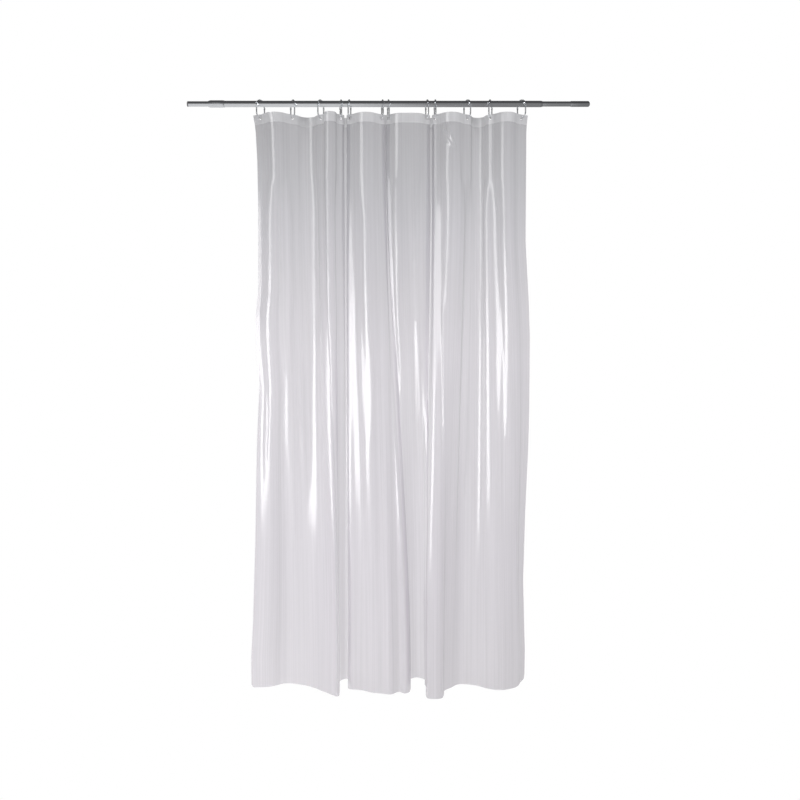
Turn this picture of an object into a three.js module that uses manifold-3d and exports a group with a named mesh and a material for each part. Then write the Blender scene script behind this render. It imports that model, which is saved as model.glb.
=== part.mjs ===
// Clear film shower curtain on a spring-loaded telescopic rod, hung by twelve snap rings.
// Units are millimetres. +X runs along the rod to the right, +Z is up, -Y faces the room.
// The origin is the centre of the left wall pad's face, on the rod's axis.
import * as THREE from "three";
import { mergeVertices } from "three/addons/utils/BufferGeometryUtils.js";
import Module from "manifold-3d";

const wasm = await Module();
wasm.setup();

// Clearances
const GAP = 0.3; // between pieces that touch
const RUNNING_GAP = 0.35; // around the pieces that turn or slide

// Rod
const OUTER_TUBE_DIAMETER = 22;
const OUTER_TUBE_WALL = 1;
const OUTER_TUBE_START = 102; // from the left pad's face
const TUBE_BEFORE_RINGS = 151.9; // of outer tube, to the left of the first ring
const TUBE_AFTER_RINGS = 65.2; // of outer tube, to the right of the last ring
const LEFT_TUBE_PLAY = 0.7; // all round, inside the outer tube
const LEFT_TUBE_LENGTH = 616;
const RIGHT_TUBE_PLAY = 1;
const RIGHT_TUBE_SHOWING = 98; // between the reducer's nose and the end cap
const INNER_TUBE_WALL = 0.8;
const TUBE_SIDES = 24;

// Pads and end cap
const LEFT_PAD_THICKNESS = 4;
const PLUG_STEM_LENGTH = 14;
const PAD_CHAMFER = 0.8;
const CAP_WALL = 0.7;
const CAP_LENGTH = 64;
const CAP_END_WALL = 3.7;
const CAP_ROUNDING = 4;
const CAP_EDGE = 0.4; // flat left around the pad's recess, and depth of the chamfer at the open end
const CAP_CHAMFER_RUN = 1.5; // of that chamfer, along the cap
const RIGHT_PAD_DIAMETER = 13;
const RIGHT_PAD_PROUD = 2;
const PAD_RECESS_DEPTH = 2;

// Twist lock at the outer tube's left end
const COLLAR_WALL = 1.15;
const COLLAR_LENGTH = 56;
const COLLAR_LIP = 4;
const COLLAR_TAPER = 6;
const COLLAR_OVERLAP = 27;
const COLLAR_GRIPS = 10;
const GRIP_DIAMETER = 1.6;
const GRIP_DEPTH = 0.35;
const COLLAR_EDGE = 0.5; // width of its end faces
const COLLET_SLOTS = 4;
const COLLET_SLOT_WIDTH = 1.5;
const COLLET_ROOT = 6;

// Tension end
const REDUCER_INSERT = 54;
const REDUCER_TAPER = 6.7;
const REDUCER_NOSE_WALL = 0.5;
const FLANGE_THICKNESS = 6;
const STOP_LENGTH = 12;
const PLUG_BORE_DIAMETER = 6;
const SPRING_LENGTH = 100;
const SPRING_PLAY = 2; // all round, inside the outer tube
const SPRING_WIRE = 1.8;
const SPRING_TURNS = 12;
const SPRING_WIRE_SIDES = 5;
const STEPS_PER_TURN = 9;

// Rings
const RING_WIRE = 4.5;
const RING_ROOM = 7; // inside the ring, beside the rod
const RING_LEG = 22; // straight part of each side
const RING_WIRE_SIDES = 6;
const RING_STEPS = 26;
const CLASP_WALL = 0.75; // around the wire
const CLASP_LENGTH = 9;
const CLASP_DROP = 6; // from the crown arc's centre down to the clasp's middle
const CLASP_SPLIT = 3;
// How far apart neighbouring rings hang, as a share of the film between them, and how many
// degrees each ring is turned about +Z.
const RING_SPREAD = [0.705, 0.617, 0.441, 0.189, 0.724, 0.13, 0.85, 0.176, 0.705, 0.507, 0.683];
const RING_TURNS = [-34, 25, -25, 10, -10, 8, 8, 12, 5, 30, -20, 36];

// Curtain film
const FILM_WIDTH = 1800; // laid flat
const FILM_LENGTH = 2000;
const FILM_THICKNESS = 0.2;
const HOLE_ROOM = 7.5; // how much wider a hole is than the ring's wire
const HOLE_PLAY = 0.9; // between a ring and the upper edge of its hole
const HOLE_FROM_TOP = 15;
const HOLE_SIDE_MARGIN = 31; // from the outermost hole to the film's side edge
const HEADER_HEIGHT = 33;
const HEADER_THICKNESS = 0.3;
const FILM_ANGLE_AT_RING = 38; // degrees between the film and the rod where a ring holds it
const FLAT_AT_RING = 5; // the film is straight this far to each side of a hole
const CURL_STEPS = 8;
const STEPS_PER_MARGIN = 2;
const STRAIGHT_TOP = 60; // the film keeps its plan at the rings down to here
const ROWS_BELOW = 6;
const HOLE_SIDES = 12;
const CUTTER_LENGTH = 12;

// Plan of the hem: [share of the hanging width from its left edge, depth from the rod].
const HEM_SIDE_SWING = 2; // how far the hem's edges reach beyond the header's, each side
const HEM_OFFSET = -13; // brings the hanging film's centre of mass under the rod
const HEM_FOLDS = [
  [0, 14], [0.04, 20], [0.08, 32], [0.134, 52], [0.185, 34], [0.222, 8], [0.26, -24], [0.29, -50],
  [0.309, -60], [0.316, -30], [0.31, 30], [0.31, 78], [0.33, 94], [0.347, 74], [0.346, 36], [0.346, 4],
  [0.375, -6], [0.4, -14], [0.43, -26], [0.47, -40], [0.498, -46], [0.529, -24], [0.55, -36],
  [0.566, -24], [0.57, 20], [0.564, 70], [0.57, 98], [0.595, 106], [0.621, 84], [0.629, 30],
  [0.627, -30], [0.632, -78], [0.658, -84], [0.682, -78], [0.69, -46], [0.694, -14], [0.727, 26],
  [0.752, 40], [0.786, 42], [0.818, 30], [0.85, 8], [0.885, -6], [0.91, -8], [0.94, 6], [0.965, 30],
  [0.985, 70], [1, 104],
];

// Places that follow from the sizes above
const bulgeLength = (FILM_WIDTH - 2 * HOLE_SIDE_MARGIN) / RING_SPREAD.length;
const ringPlaces = [OUTER_TUBE_START + TUBE_BEFORE_RINGS];
for (const share of RING_SPREAD) ringPlaces.push(ringPlaces.at(-1) + share * bulgeLength);
const outerRadius = OUTER_TUBE_DIAMETER / 2;
const boreRadius = outerRadius - OUTER_TUBE_WALL;
const leftRadius = boreRadius - LEFT_TUBE_PLAY;
const rightRadius = boreRadius - RIGHT_TUBE_PLAY;
const outerTubeEnd = ringPlaces.at(-1) + TUBE_AFTER_RINGS;
const noseEnd = outerTubeEnd + GAP + REDUCER_TAPER;
const reducerStart = outerTubeEnd - REDUCER_INSERT;
const plugFlangeEnd = reducerStart - GAP;
const plugFlangeStart = plugFlangeEnd - FLANGE_THICKNESS;
const springEnd = plugFlangeStart - GAP;
const springStart = springEnd - SPRING_LENGTH;
const capStart = noseEnd + RIGHT_TUBE_SHOWING;
const capEnd = capStart + CAP_LENGTH;
const rodEnd = capEnd + RIGHT_PAD_PROUD;
const capBore = rightRadius + GAP;
const capRadius = capBore + CAP_WALL;
const wireRadius = RING_WIRE / 2;
const crownZ = outerRadius + GAP + wireRadius;
const ringArc = outerRadius + RING_ROOM + wireRadius;
const ringBottomZ = crownZ - 2 * ringArc - RING_LEG;
const holeRadius = (RING_WIRE + HOLE_ROOM) / 2;
const holeZ = ringBottomZ + wireRadius + HOLE_PLAY - holeRadius;
const filmTopZ = holeZ + HOLE_FROM_TOP;

const finishes = {
  steel: { color: 0xb9bcc0, roughness: 0.25, metalness: 1 },
  darkSteel: { color: 0x9a9da1, roughness: 0.35, metalness: 1 },
  springSteel: { color: 0x7d8084, roughness: 0.4, metalness: 1 },
  nylon: { color: 0xe6e6e2, roughness: 0.6, metalness: 0 },
  rubber: { color: 0x5c5e60, roughness: 0.85, metalness: 0 },
  clearPlastic: { color: 0xc9ccd0, roughness: 0.12, metalness: 0 },
  film: { color: 0xd5d4d8, roughness: 0.15, metalness: 0 },
  header: { color: 0xc4c4c8, roughness: 0.2, metalness: 0 },
};

const group = new THREE.Group();

function addPiece(name, geometry, finish, place = [0, 0, 0], turn = 0) {
  const mesh = new THREE.Mesh(geometry, new THREE.MeshStandardMaterial(finishes[finish]));
  mesh.name = name;
  mesh.position.set(...place);
  mesh.rotation.z = turn;
  group.add(mesh);
}

function toSolid(geometry) {
  const bare = geometry.clone();
  bare.deleteAttribute("normal");
  bare.deleteAttribute("uv");
  const merged = mergeVertices(bare, 1e-5);
  return new wasm.Manifold(new wasm.Mesh({
    numProp: 3,
    vertProperties: new Float32Array(merged.attributes.position.array),
    triVerts: new Uint32Array(merged.index.array),
  }));
}

function toGeometry(solid) {
  const mesh = solid.getMesh();
  const geometry = new THREE.BufferGeometry();
  geometry.setAttribute("position", new THREE.BufferAttribute(mesh.vertProperties, 3));
  geometry.setIndex(new THREE.BufferAttribute(mesh.triVerts, 1));
  geometry.computeVertexNormals();
  return geometry;
}

// Turns a closed profile of [x, radius] points about the X axis.
function turnedAboutX(profile, sides = TUBE_SIDES) {
  const points = profile.map(([x, radius]) => new THREE.Vector2(radius, x));
  points.push(points[0].clone());
  const geometry = new THREE.LatheGeometry(points, sides);
  geometry.rotateZ(-Math.PI / 2);
  return geometry;
}

function tube(start, end, outer, inner) {
  return turnedAboutX([[start, outer], [end, outer], [end, inner], [start, inner]]);
}

// A flange that fills the outer tube, with a stem that goes into an inner tube of the given
// bore, and a hole right through. It starts at the origin and points along +X.
function flangedPlug(tubeBore) {
  const end = FLANGE_THICKNESS + GAP + PLUG_STEM_LENGTH;
  const [flange, stem, hole] = [boreRadius - GAP, tubeBore - GAP, PLUG_BORE_DIAMETER / 2];
  return turnedAboutX([
    [0, flange], [FLANGE_THICKNESS, flange], [FLANGE_THICKNESS, stem], [end, stem], [end, hole],
    [0, hole],
  ]);
}

function leftPad() {
  const stem = leftRadius - INNER_TUBE_WALL - GAP;
  const end = LEFT_PAD_THICKNESS + PLUG_STEM_LENGTH;
  return turnedAboutX([
    [0, 0], [0, leftRadius - PAD_CHAMFER], [PAD_CHAMFER, leftRadius], [LEFT_PAD_THICKNESS, leftRadius],
    [LEFT_PAD_THICKNESS, stem], [end, stem], [end, 0],
  ]);
}

function addLeftEnd() {
  const start = LEFT_PAD_THICKNESS + GAP;
  const end = start + LEFT_TUBE_LENGTH;
  const bore = leftRadius - INNER_TUBE_WALL;
  addPiece("left_wall_pad", leftPad(), "rubber");
  addPiece("left_inner_tube", tube(start, end, leftRadius, bore), "steel");
  const bushEnd = end + GAP + FLANGE_THICKNESS;
  addPiece("left_guide_bush", flangedPlug(bore), "nylon", [bushEnd, 0, 0], Math.PI);
}

function collar() {
  const start = OUTER_TUBE_START + COLLAR_OVERLAP - COLLAR_LENGTH;
  const end = start + COLLAR_LENGTH;
  const bore = outerRadius + RUNNING_GAP;
  const outer = bore + COLLAR_WALL;
  const lip = leftRadius + RUNNING_GAP;
  let solid = toSolid(turnedAboutX([
    [start, lip + COLLAR_EDGE], [start + COLLAR_TAPER, outer], [end - COLLAR_TAPER, outer],
    [end, bore + COLLAR_EDGE], [end, bore], [start + COLLAR_LIP, bore], [start + COLLAR_LIP, lip],
    [start, lip],
  ]));
  const reach = outer + GRIP_DIAMETER / 2 - GRIP_DEPTH;
  for (let i = 0; i < COLLAR_GRIPS; i += 1) {
    const angle = (i * 2 * Math.PI) / COLLAR_GRIPS;
    const groove = new THREE.CylinderGeometry(GRIP_DIAMETER / 2, GRIP_DIAMETER / 2, COLLAR_LENGTH / 2, 8);
    groove.rotateZ(Math.PI / 2);
    groove.translate(start + COLLAR_LENGTH / 2, reach * Math.cos(angle), reach * Math.sin(angle));
    solid = solid.subtract(toSolid(groove));
  }
  return toGeometry(solid);
}

function collet() {
  const start = OUTER_TUBE_START + COLLAR_OVERLAP - COLLAR_LENGTH + COLLAR_LIP + RUNNING_GAP;
  const end = OUTER_TUBE_START - GAP;
  let solid = toSolid(tube(start, end, outerRadius, leftRadius + GAP));
  const slotLength = end - start - COLLET_ROOT;
  for (let i = 0; i < COLLET_SLOTS / 2; i += 1) {
    const slot = new THREE.BoxGeometry(slotLength + 2, COLLET_SLOT_WIDTH, OUTER_TUBE_DIAMETER * 2);
    slot.rotateX((i * 2 * Math.PI) / COLLET_SLOTS);
    slot.translate(start + slotLength / 2 - 1, 0, 0);
    solid = solid.subtract(toSolid(slot));
  }
  return toGeometry(solid);
}

class Helix extends THREE.Curve {
  getPoint(t) {
    const radius = boreRadius - SPRING_PLAY - SPRING_WIRE / 2;
    const angle = t * SPRING_TURNS * 2 * Math.PI;
    const x = SPRING_WIRE / 2 + t * (SPRING_LENGTH - SPRING_WIRE);
    return new THREE.Vector3(x, radius * Math.cos(angle), radius * Math.sin(angle));
  }
}

function roundSection(radius, sides) {
  const corners = [];
  for (let i = 0; i < sides; i += 1) {
    const angle = (i * 2 * Math.PI) / sides;
    corners.push(new THREE.Vector2(radius * Math.cos(angle), radius * Math.sin(angle)));
  }
  return new THREE.Shape(corners);
}

function spring() {
  return new THREE.ExtrudeGeometry(roundSection(SPRING_WIRE / 2, SPRING_WIRE_SIDES), {
    steps: SPRING_TURNS * STEPS_PER_TURN, extrudePath: new Helix(), bevelEnabled: false,
  });
}

function addMainTube() {
  const stopEnd = springStart - GAP;
  const bore = PLUG_BORE_DIAMETER / 2;
  addPiece("lock_collar", collar(), "steel");
  addPiece("lock_collet", collet(), "nylon");
  addPiece("outer_tube", tube(OUTER_TUBE_START, outerTubeEnd, outerRadius, boreRadius), "steel");
  addPiece("spring_stop", tube(stopEnd - STOP_LENGTH, stopEnd, boreRadius - GAP, bore), "nylon");
  addPiece("tension_spring", spring(), "springSteel", [springStart, 0, 0]);
  const guide = rightRadius + GAP;
  const shoulder = outerTubeEnd + GAP;
  addPiece("tube_reducer", turnedAboutX([
    [reducerStart, boreRadius - GAP], [shoulder, boreRadius - GAP], [shoulder, outerRadius],
    [noseEnd, guide + REDUCER_NOSE_WALL], [noseEnd, guide],
    [reducerStart, guide],
  ]), "darkSteel");
}

function endCap() {
  const recess = RIGHT_PAD_DIAMETER / 2 + GAP;
  const profile = [
    [capStart, capBore], [capStart, capRadius - CAP_EDGE], [capStart + CAP_CHAMFER_RUN, capRadius],
  ];
  for (let i = 0; i <= 4; i += 1) {
    const angle = (i * Math.PI) / 8;
    const roundX = capEnd - CAP_ROUNDING + CAP_ROUNDING * Math.sin(angle);
    // The rounding stops at the flat round the recess.
    const side = Math.min(CAP_ROUNDING, capRadius - recess - CAP_EDGE);
    profile.push([roundX, capRadius - side + side * Math.cos(angle)]);
  }
  profile.push(
    [capEnd, recess], [capEnd - PAD_RECESS_DEPTH, recess], [capEnd - PAD_RECESS_DEPTH, 0],
    [capEnd - CAP_END_WALL, 0], [capEnd - CAP_END_WALL, capBore],
  );
  return turnedAboutX(profile);
}

function addRightEnd() {
  const bore = rightRadius - INNER_TUBE_WALL;
  const tubeEnd = capEnd - CAP_END_WALL - GAP;
  const pad = RIGHT_PAD_DIAMETER / 2;
  addPiece("right_spring_plug", flangedPlug(bore), "nylon", [plugFlangeStart, 0, 0]);
  addPiece("right_inner_tube", tube(reducerStart, tubeEnd, rightRadius, bore), "steel");
  addPiece("right_end_cap", endCap(), "darkSteel");
  addPiece("right_wall_pad", turnedAboutX([
    [capEnd - PAD_RECESS_DEPTH + GAP, 0], [capEnd - PAD_RECESS_DEPTH + GAP, pad],
    [rodEnd - PAD_CHAMFER, pad], [rodEnd, pad - PAD_CHAMFER], [rodEnd, 0],
  ]), "rubber");
}

// The ring's centreline in its own YZ plane: a crown arc, two straight legs and a lower arc.
// It starts and ends at the split, which is in the back leg under the crown.
class RingPath extends THREE.Curve {
  getPoint(t) {
    const top = crownZ - ringArc;
    const splitZ = top - CLASP_DROP;
    const halfSplit = CLASP_SPLIT / 2;
    const rise = CLASP_DROP - halfSplit;
    const lowerRun = RING_LEG - CLASP_DROP - halfSplit;
    const arc = Math.PI * ringArc;
    let left = t * (rise + arc + RING_LEG + arc + lowerRun);
    if (left <= rise) return new THREE.Vector3(0, ringArc, splitZ + halfSplit + left);
    left -= rise;
    if (left <= arc) {
      const angle = left / ringArc;
      return new THREE.Vector3(0, ringArc * Math.cos(angle), top + ringArc * Math.sin(angle));
    }
    left -= arc;
    if (left <= RING_LEG) return new THREE.Vector3(0, -ringArc, top - left);
    left -= RING_LEG;
    if (left <= arc) {
      const angle = left / ringArc;
      return new THREE.Vector3(0, -ringArc * Math.cos(angle), top - RING_LEG - ringArc * Math.sin(angle));
    }
    left -= arc;
    return new THREE.Vector3(0, ringArc, top - RING_LEG + left);
  }
}

function ringBody() {
  const wire = new THREE.ExtrudeGeometry(roundSection(wireRadius, RING_WIRE_SIDES), {
    steps: RING_STEPS, extrudePath: new RingPath(), bevelEnabled: false,
  });
  const claspRadius = wireRadius + CLASP_WALL;
  const clasp = new THREE.CylinderGeometry(claspRadius, claspRadius, CLASP_LENGTH, 8);
  clasp.rotateX(Math.PI / 2);
  clasp.translate(0, ringArc, crownZ - ringArc - CLASP_DROP);
  return toGeometry(toSolid(wire).add(toSolid(clasp)));
}

function addRings() {
  ringPlaces.forEach((x, i) => {
    const name = `ring_${String(i + 1).padStart(2, "0")}`;
    addPiece(name, ringBody(), "clearPlastic", [x, 0, 0], THREE.MathUtils.degToRad(RING_TURNS[i]));
  });
}

// Points along a film whose angle to the rod is angleAt(share), starting from start.
function walk(start, length, steps, angleAt) {
  const fine = 12;
  const points = [];
  let [x, y] = start;
  for (let i = 0; i < steps * fine; i += 1) {
    const angle = angleAt((i + 0.5) / (steps * fine));
    x += (Math.cos(angle) * length) / (steps * fine);
    y += (Math.sin(angle) * length) / (steps * fine);
    if ((i + 1) % fine === 0) points.push([x, y]);
  }
  return points;
}

// How strongly a bulge of the given length has to curl so that its ends are chord apart.
function curlFor(chord, length, endAngle) {
  let [low, high] = [-0.8, 3.5];
  for (let i = 0; i < 40; i += 1) {
    const curl = (low + high) / 2;
    const bend = (u) => endAngle * Math.cos(Math.PI * u) + curl * Math.sin(2 * Math.PI * u);
    const reached = walk([0, 0], length, 8, bend).at(-1)[0];
    if (reached > chord) low = curl;
    else high = curl;
  }
  return (low + high) / 2;
}

// The film's plan at the rings, from its left edge to its right edge. Bulges take turns to the
// front and to the back.
function headerPlan() {
  const endAngle = THREE.MathUtils.degToRad(FILM_ANGLE_AT_RING);
  const left = [
    ringPlaces[0] - HOLE_SIDE_MARGIN * Math.cos(endAngle), HOLE_SIDE_MARGIN * Math.sin(endAngle),
  ];
  const plan = [left, ...walk(left, HOLE_SIDE_MARGIN, STEPS_PER_MARGIN, () => -endAngle)];
  const curled = bulgeLength - 2 * FLAT_AT_RING;
  RING_SPREAD.forEach((share, i) => {
    const side = i % 2 === 0 ? -1 : 1;
    const chord = share * bulgeLength - 2 * FLAT_AT_RING * Math.cos(endAngle);
    const curl = curlFor(chord, curled, endAngle);
    const bend = (u) => side * (endAngle * Math.cos(Math.PI * u) + curl * Math.sin(2 * Math.PI * u));
    plan.push(...walk(plan.at(-1), FLAT_AT_RING, 1, () => side * endAngle));
    plan.push(...walk(plan.at(-1), curled, CURL_STEPS, bend));
    plan.push(...walk(plan.at(-1), FLAT_AT_RING, 1, () => -side * endAngle));
  });
  plan.push(...walk(plan.at(-1), HOLE_SIDE_MARGIN, STEPS_PER_MARGIN, () => endAngle));
  return plan;
}

// The hem's plan, with as many points as the header's at the same shares of the film's width.
function hemPlan(header) {
  const left = header[0][0] - HEM_SIDE_SWING;
  const width = header.at(-1)[0] + HEM_SIDE_SWING - left;
  const folds = HEM_FOLDS.map(
    ([share, depth]) => new THREE.Vector3(left + share * width, depth + HEM_OFFSET, 0),
  );
  const curve = new THREE.CatmullRomCurve3(folds, false, "centripetal");
  curve.arcLengthDivisions = 2000;
  return flatShares(header).map((share) => {
    const point = curve.getPointAt(share);
    return [point.x, point.y];
  });
}

function flatShares(plan) {
  const along = [0];
  for (let i = 1; i < plan.length; i += 1) {
    along.push(along.at(-1) + Math.hypot(plan[i][0] - plan[i - 1][0], plan[i][1] - plan[i - 1][1]));
  }
  return along.map((run) => Math.min(1, run / along.at(-1)));
}

function sideways(plan, i) {
  const [before, after] = [plan[Math.max(0, i - 1)], plan[Math.min(plan.length - 1, i + 1)]];
  const run = Math.hypot(after[0] - before[0], after[1] - before[1]);
  return [-(after[1] - before[1]) / run, (after[0] - before[0]) / run];
}

// A closed thin solid over a grid of plans, one per row, moved towards the back by shift.
function thinSolid(rows, thickness, shift) {
  const [across, down] = [rows[0].plan.length, rows.length];
  const positions = [];
  for (const side of [-1, 1]) {
    for (const { plan, z } of rows) {
      plan.forEach(([x, y], i) => {
        const [nx, ny] = sideways(plan, i);
        const off = shift + (side * thickness) / 2;
        positions.push(x + nx * off, y + ny * off, z);
      });
    }
  }
  const at = (side, row, column) => (side * down + row) * across + column;
  const index = [];
  const quad = (a, b, c, d) => index.push(a, b, c, a, c, d);
  for (let r = 0; r < down - 1; r += 1) {
    for (let c = 0; c < across - 1; c += 1) {
      quad(at(0, r, c), at(0, r + 1, c), at(0, r + 1, c + 1), at(0, r, c + 1));
      quad(at(1, r, c), at(1, r, c + 1), at(1, r + 1, c + 1), at(1, r + 1, c));
    }
    quad(at(0, r, 0), at(1, r, 0), at(1, r + 1, 0), at(0, r + 1, 0));
    quad(at(0, r, across - 1), at(0, r + 1, across - 1), at(1, r + 1, across - 1), at(1, r, across - 1));
  }
  for (let c = 0; c < across - 1; c += 1) {
    quad(at(0, 0, c), at(0, 0, c + 1), at(1, 0, c + 1), at(1, 0, c));
    const last = down - 1;
    quad(at(0, last, c), at(1, last, c), at(1, last, c + 1), at(0, last, c + 1));
  }
  const geometry = new THREE.BufferGeometry();
  geometry.setAttribute("position", new THREE.Float32BufferAttribute(positions, 3));
  geometry.setIndex(index);
  return geometry;
}

function punched(geometry, plan) {
  let solid = toSolid(geometry);
  ringPlaces.forEach((x, i) => {
    const column = STEPS_PER_MARGIN + i * (CURL_STEPS + 2);
    const [nx, ny] = sideways(plan, column);
    const cutter = new THREE.CylinderGeometry(holeRadius, holeRadius, CUTTER_LENGTH, HOLE_SIDES);
    cutter.rotateZ(Math.atan2(ny, nx) - Math.PI / 2);
    cutter.translate(x, 0, holeZ);
    solid = solid.subtract(toSolid(cutter));
  });
  return toGeometry(solid);
}

function filmRows(header) {
  const hem = hemPlan(header);
  const rows = [
    { plan: header, z: filmTopZ },
    { plan: header, z: filmTopZ - STRAIGHT_TOP },
  ];
  for (let i = 1; i <= ROWS_BELOW; i += 1) {
    const share = i / ROWS_BELOW;
    const blend = share * share * (3 - 2 * share);
    const plan = header.map(([x, y], c) => [
      x + (hem[c][0] - x) * blend,
      y + (hem[c][1] - y) * blend,
    ]);
    rows.push({ plan, z: filmTopZ - STRAIGHT_TOP - share * (FILM_LENGTH - STRAIGHT_TOP) });
  }
  return rows;
}

function addCurtain() {
  const header = headerPlan();
  addPiece("curtain_film", punched(thinSolid(filmRows(header), FILM_THICKNESS, 0), header), "film");
  const band = [{ plan: header, z: filmTopZ }, { plan: header, z: filmTopZ - HEADER_HEIGHT }];
  const shift = FILM_THICKNESS / 2 + GAP + HEADER_THICKNESS / 2;
  addPiece("header_band", punched(thinSolid(band, HEADER_THICKNESS, shift), header), "header");
}

addLeftEnd();
addMainTube();
addRightEnd();
addRings();
addCurtain();

export default group;
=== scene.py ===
import math

import bmesh
import bpy
import numpy as np
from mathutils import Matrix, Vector


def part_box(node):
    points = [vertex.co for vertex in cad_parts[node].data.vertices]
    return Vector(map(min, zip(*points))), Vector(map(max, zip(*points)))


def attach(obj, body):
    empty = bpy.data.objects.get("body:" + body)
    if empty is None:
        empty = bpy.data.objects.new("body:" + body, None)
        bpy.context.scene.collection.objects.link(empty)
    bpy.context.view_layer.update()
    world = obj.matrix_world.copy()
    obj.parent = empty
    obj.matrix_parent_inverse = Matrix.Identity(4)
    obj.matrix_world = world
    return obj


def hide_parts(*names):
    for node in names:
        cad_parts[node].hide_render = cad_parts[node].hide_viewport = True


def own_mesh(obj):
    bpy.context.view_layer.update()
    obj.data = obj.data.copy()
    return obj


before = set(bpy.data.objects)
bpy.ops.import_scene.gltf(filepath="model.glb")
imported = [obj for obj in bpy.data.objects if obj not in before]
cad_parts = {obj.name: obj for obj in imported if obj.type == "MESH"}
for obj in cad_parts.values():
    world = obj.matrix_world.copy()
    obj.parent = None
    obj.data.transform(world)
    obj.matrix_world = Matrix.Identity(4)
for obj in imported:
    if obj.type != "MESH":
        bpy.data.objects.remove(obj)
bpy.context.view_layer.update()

MM = 0.001

# The film, laid flat, and the rings it hangs from (millimetres, in the CAD frame)
FILM_WIDTH = 1800.0
FILM_LENGTH = 2000.0
HOLE_MARGIN = 31.0
HOLE_DROP = 13.3  # visible holes are smaller than the solids' and share their upper edge
HOLE_RADIUS = 4.3
HEADER = 33.0
# Each gap between two rings as a share of the flat film between their holes
SPREAD = [0.705, 0.617, 0.441, 0.189, 0.724, 0.13, 0.85, 0.176, 0.705, 0.507, 0.683]
# How far each ring has turned about the vertical, in degrees
TURNS = [-34, 25, -25, 10, -10, 8, 8, 12, 5, 30, -20, 36]
FIRST_RING = 253.9
RING_COUNT = len(TURNS)
BULGE = (FILM_WIDTH - 2 * HOLE_MARGIN) / len(SPREAD)
RING_X = [FIRST_RING + BULGE * sum(SPREAD[:i]) for i in range(RING_COUNT)]
RING_S = [HOLE_MARGIN + BULGE * i for i in range(RING_COUNT)]

ROD_RADIUS = 11.0
WIRE_RADIUS = 2.25
RING_ROOM = 7.0  # between the rod and the ring's wire
RING_ARC = ROD_RADIUS + RING_ROOM + WIRE_RADIUS
RING_LEG = 22.0
CROWN_Z = ROD_RADIUS + 0.3 + WIRE_RADIUS
RING_BOTTOM = CROWN_Z - 2 * RING_ARC - RING_LEG
SOLID_HOLE_RADIUS = 6.0
HOLE_Z = RING_BOTTOM + WIRE_RADIUS + 0.9 - SOLID_HOLE_RADIUS
FILM_TOP = HOLE_Z + 15.0


# ---------------------------------------------------------------- camera
def make_camera():
    data = bpy.data.cameras.new("camera")
    cam = bpy.data.objects.new("camera", data)
    bpy.context.scene.collection.objects.link(cam)
    cam.location = (0.7375, -3.4, -0.68)
    cam.rotation_euler = (math.radians(90 - 0.93), 0, 0)
    data.sensor_width = 36.0
    data.lens = 43.98
    data.shift_y = -0.105  # the photo's verticals are parallel, and its eye level is high
    data.clip_start = 0.1
    data.clip_end = 60
    bpy.context.scene.camera = cam


make_camera()


# ---------------------------------------------------------------- node helpers
def fill_ramp(ramp, stops):
    """Gives a colour ramp node its stops: (place, linear colour)."""
    elements = ramp.color_ramp.elements
    while len(elements) < len(stops):
        elements.new(0.5)
    for element, (place, colour) in zip(elements, stops):
        element.position = place
        element.color = (*colour, 1)


def set_range(node, low, high, to_low, to_high):
    """Sets what a Map Range node reads from and writes to."""
    names = ("From Min", "From Max", "To Min", "To Max")
    for name, number in zip(names, (low, high, to_low, to_high)):
        node.inputs[name].default_value = number


class Nodes:
    """A small wrapper that adds nodes to a material's tree and links them."""

    def __init__(self, name):
        self.material = bpy.data.materials.new(name)
        self.material.use_nodes = True
        self.tree = self.material.node_tree
        self.tree.nodes.clear()
        self.out = self.add("ShaderNodeOutputMaterial")
        self.shader = self.add("ShaderNodeBsdfPrincipled")
        self.link(self.shader.outputs["BSDF"], self.out.inputs["Surface"])

    def add(self, kind, **values):
        node = self.tree.nodes.new(kind)
        for key, value in values.items():
            setattr(node, key, value)
        return node

    def link(self, a, b):
        self.tree.links.new(a, b)

    def set(self, **values):
        for key, value in values.items():
            self.shader.inputs[key.replace("_", " ")].default_value = value

    def coords(self, scale=(1, 1, 1), from_uv=False):
        at = self.add("ShaderNodeTexCoord")
        mapping = self.add("ShaderNodeMapping")
        mapping.inputs["Scale"].default_value = scale
        self.link(at.outputs["UV" if from_uv else "Object"], mapping.inputs["Vector"])
        return mapping.outputs["Vector"]

    def noise(self, scale, stretch=(1, 1, 1), detail=4.0, rough=0.5, from_uv=False):
        node = self.add("ShaderNodeTexNoise")
        node.inputs["Scale"].default_value = scale
        node.inputs["Detail"].default_value = detail
        node.inputs["Roughness"].default_value = rough
        self.link(self.coords(stretch, from_uv), node.inputs["Vector"])
        return node.outputs["Fac"]

    def span(self, value, low, high, to_low, to_high):
        node = self.add("ShaderNodeMapRange")
        set_range(node, low, high, to_low, to_high)
        self.link(value, node.inputs["Value"])
        return node.outputs["Result"]

    def ramp(self, value, stops):
        node = self.add("ShaderNodeValToRGB")
        fill_ramp(node, stops)
        self.link(value, node.inputs["Fac"])
        return node.outputs["Color"]

    def divide(self, value, by):
        node = self.add("ShaderNodeMath", operation="DIVIDE")
        self.link(value, node.inputs[0])
        node.inputs[1].default_value = by
        return node.outputs["Value"]

    def tint(self, colour, factor, dark):
        """Darkens a colour to this share of it where the factor is low."""
        node = self.add("ShaderNodeMix", data_type="RGBA", blend_type="MULTIPLY")
        node.inputs["Factor"].default_value = 1.0
        self.link(colour, node.inputs["A"])
        shade = self.ramp(factor, [(0.3, (dark,) * 3), (0.7, (1, 1, 1))])
        self.link(shade, node.inputs["B"])
        return node.outputs["Result"]

    def bump(self, height, strength, distance):
        node = self.add("ShaderNodeBump")
        node.inputs["Strength"].default_value = strength
        node.inputs["Distance"].default_value = distance
        self.link(height, node.inputs["Height"])
        self.link(node.outputs["Normal"], self.shader.inputs["Normal"])


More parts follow.
